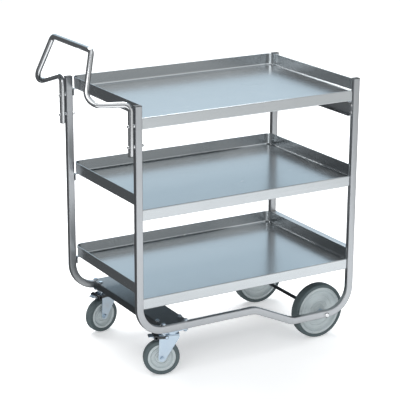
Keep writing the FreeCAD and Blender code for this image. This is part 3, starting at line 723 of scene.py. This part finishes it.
def washerPlaces():
    # Position, axis and size of every washer: caster bolts and nuts, handle nuts, cross-member bolts
    w = washerSpots
    places = []
    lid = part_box("caster_cross_plate")[1][2]
    for side in ("front", "back"):
        pin = joints[side + "_caster_swivel"]["pos_m"]
        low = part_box(side + "_caster_plate")[0][2]
        for stepX in (-w["stepX"], w["stepX"]):
            for stepY in (-w["stepY"], w["stepY"]):
                spot = (pin[0] + stepX, pin[1] + stepY)
                places.append(((*spot, lid + w["off"]), (0, 0, 1), 1.0))
                places.append(((*spot, low - w["off"]), (0, 0, -1), 1.0))
    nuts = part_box("handle_acorn_nuts")
    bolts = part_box("cross_member_bolts")
    nutZ = (nuts[0][2] + nuts[1][2]) / 2
    web = middleX + halfLength - sideFrame["long"] - w["offWeb"]
    for y in (railY, -railY):
        places.append(((nuts[0][0] + w["offPost"], y, nutZ), (1, 0, 0), w["small"]))
        for z in (bolts[0][2] + w["inFromEnd"], bolts[1][2] - w["inFromEnd"]):
            places.append(((web, y, z), (-1, 0, 0), w["small"]))
    return places


def washerPiece():
    places = washerPlaces()
    marks = {"axis": ("FLOAT_VECTOR", "vector", [row[1] for row in places]),
             "size": ("FLOAT", "value", [row[2] for row in places])}
    repeatedPiece("toothedWashers", "cart", washerRepeater(), washers,
                  [row[0] for row in places], marks=marks)


washerPiece()

footRibs = {"Ribs": 4, "Spacing": 0.0032, "Radius": 0.0007, "Length": 0.024, "Seed": 1}
firstRib = 0.0672


def ribRepeater():
    tree = Repeater("footRibs", {"Ribs": "Int", "Spacing": "Float", "Radius": "Float", "Length": "Float",
                                 "Seed": "Int"})
    rows = tree.node("GeometryNodeMeshLine", {"mode": "OFFSET"}, {
        "Count": tree.given("Ribs"), "Offset": tree.vector(tree.given("Spacing"), 0.0, 0.0)})
    bar = tree.node("GeometryNodeMeshCylinder", inputs={
        "Vertices": 14, "Radius": tree.given("Radius"), "Depth": tree.given("Length")})
    worn = tree.random(0.9, 1.0)
    ribs = tree.node("GeometryNodeInstanceOnPoints", inputs={
        "Points": rows, "Instance": bar, "Rotation": (math.pi / 2, 0.0, 0.0),
        "Scale": tree.vector(worn, worn, 1.0)})
    points = tree.node("GeometryNodeMeshToPoints", inputs=[tree.given("Geometry")])
    facing = tree.node("FunctionNodeAlignRotationToVector", {"axis": "X"},
                       {"Vector": tree.named("axis", "FLOAT_VECTOR")})
    placed = tree.node("GeometryNodeInstanceOnPoints", inputs={
        "Points": points, "Instance": ribs, "Rotation": facing})
    tree.close(placed, finishes["zinc_steel"])
    return tree


def ribPiece(side, tree):
    # The ribs run square to the line from the kingpin to the foot tab
    pin = Vector(joints[side + "_caster_swivel"]["pos_m"][:2])
    wheel = Vector(joints[side + "_caster_roll"]["pos_m"][:2])
    along = (wheel - pin).normalized()
    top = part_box(side + "_brake_tab")[1][2]
    start = pin + along * firstRib
    marks = {"axis": ("FLOAT_VECTOR", "vector", [(along.x, along.y, 0.0)])}
    repeatedPiece(side + "FootRibs", side + "_brake_body", tree, footRibs,
                  [(start.x, start.y, top)], marks=marks)


ribTree = ribRepeater()
for side in ("front", "back"):
    ribPiece(side, ribTree)
print("repeated details placed")


# Studio: a pale sweep, soft lights and the camera

studio = {"near": 1.8, "nearAt": (0.0, -2.05), "far": 40.0, "wall": 36.0, "drop": 0.001, "lift": 0.42}


def circlePoints(radius, centre=(0.0, 0.0), count=72):
    turn = [2 * math.pi * k / count for k in range(count)]
    return [(centre[0] + radius * math.cos(a), centre[1] + radius * math.sin(a)) for a in turn]


def studioFloor():
    # A near disc that shows in the steel, and a wide one under it that does not
    s = studio
    finish = Finish("paleFloor")
    tint = finish.noise(finish.coords(), 0.6, 2.0)
    colour = finish.mix(tint * 0.4, rgb(0.90, 0.90, 0.905), rgb(0.93, 0.93, 0.93))
    material = finish.surface(colour=colour, roughness=0.9, glow=rgb(1.0, 1.0, 1.0), glowStrength=s["lift"])
    for name, centre, radius, height in (("nearFloor", s["nearAt"], s["near"], 0.0),
                                         ("farFloor", (0.0, 0.0), s["far"], -s["drop"])):
        disc = bmesh.new()
        disc.faces.new([disc.verts.new((x, y, height)) for x, y in circlePoints(radius, centre)])
        mesh = bpy.data.meshes.new(name)
        disc.to_mesh(mesh)
        disc.free()
        mesh.materials.append(material)
        floor = bpy.data.objects.new(name, mesh)
        floor.visible_glossy = name == "nearFloor"
        bpy.context.scene.collection.objects.link(floor)
    studioWall(material)


def studioWall(material):
    # Pale all round for low views; it lights nothing and shows in nothing
    ring = circlePoints(studio["wall"])
    count = len(ring)
    verts = [(x, y, z) for z in (-studio["drop"], studio["wall"]) for x, y in ring]
    faces = [(k, (k + 1) % count, (k + 1) % count + count, k + count) for k in range(count)]
    mesh = bpy.data.meshes.new("farWall")
    mesh.from_pydata(verts, [], faces)
    mesh.materials.append(material)
    wall = bpy.data.objects.new("farWall", mesh)
    wall.visible_glossy = wall.visible_diffuse = wall.visible_shadow = False
    bpy.context.scene.collection.objects.link(wall)


lamps = {"overhead": {"at": (0.2, 2.3, 4.2), "aim": (0.1, 0.3, 0.0), "size": (5.0, 2.6), "watts": 260.0},
         "left": {"at": (-3.8, -3.6, 3.2), "aim": (0.0, 0.0, 0.6), "size": (2.6, 2.0), "watts": 60.0}}

room = {"dim": rgb(0.13, 0.135, 0.14),
        "front": {"toward": (0.44, -0.88, -0.25), "from": 0.70, "full": 0.97, "glow": rgb(0.76, 0.76, 0.75)},
        "window": {"toward": (0.46, 0.82, 0.34), "from": 0.74, "full": 0.97, "glow": rgb(0.56, 0.71, 0.82)},
        "fill": {"toward": (-0.72, -0.58, 0.38), "from": 0.62, "full": 0.98, "glow": rgb(0.50, 0.51, 0.52)},
        "ceiling": {"toward": (0.20, -0.40, 0.89), "from": 0.62, "full": 0.98, "glow": rgb(0.95, 0.97, 0.98)}}


def studioRoom():
    # Soft glows in a dim room, told apart only by direction
    world = bpy.data.worlds.new("studioRoom")
    bpy.context.scene.world = world
    world.use_nodes = True
    tree = Tree(world.node_tree)
    toward = tree.node("ShaderNodeTexCoord", output="Generated")
    toward = tree.node("ShaderNodeVectorMath", {"operation": "NORMALIZE"}, [toward])
    glow = tree.node("ShaderNodeRGB")
    glow.socket.default_value = room["dim"]
    for name in ("front", "window", "fill", "ceiling"):
        lobe = room[name]
        aim = tuple(Vector(lobe["toward"]).normalized())
        along = tree.node("ShaderNodeVectorMath", {"operation": "DOT_PRODUCT"}, [toward, aim], output="Value")
        glow = tree.node("ShaderNodeMix", {"data_type": "RGBA", "blend_type": "ADD"},
                         {0: along.smooth(lobe["from"], lobe["full"]), 6: glow, 7: lobe["glow"]}, output=2)
    background = tree.node("ShaderNodeBackground", inputs=[glow, 1.0])
    tree.node("ShaderNodeOutputWorld", inputs=[background])


def studioLamps():
    for name, lamp in lamps.items():
        light = bpy.data.lights.new(name + "Softbox", "AREA")
        light.shape = "RECTANGLE"
        light.size, light.size_y = lamp["size"]
        light.energy = lamp["watts"]
        holder = bpy.data.objects.new(name + "Softbox", light)
        holder.location = lamp["at"]
        holder.rotation_euler = (Vector(lamp["aim"]) - Vector(lamp["at"])).to_track_quat("-Z", "Y").to_euler()
        bpy.context.scene.collection.objects.link(holder)


def studioCamera():
    view = {"at": (-2.5861, -4.3389, 2.0553), "turn": 30.349, "down": 16.968, "roll": 0.249, "lens": 133.165}
    data = bpy.data.cameras.new("viewCamera")
    data.lens = view["lens"]
    data.sensor_width = 36.0
    camera = bpy.data.objects.new("viewCamera", data)
    camera.location = (view["at"][0] + middleX, view["at"][1], view["at"][2])
    aim = Euler((math.radians(90 - view["down"]), 0.0, math.radians(-view["turn"]))).to_matrix()
    camera.rotation_euler = (aim @ Matrix.Rotation(math.radians(view["roll"]), 3, "Z")).to_euler()
    bpy.context.scene.collection.objects.link(camera)
    bpy.context.scene.camera = camera


studioFloor()
studioRoom()
studioLamps()
studioCamera()
bpy.context.scene.view_settings.view_transform = "Standard"
print("studio ready")
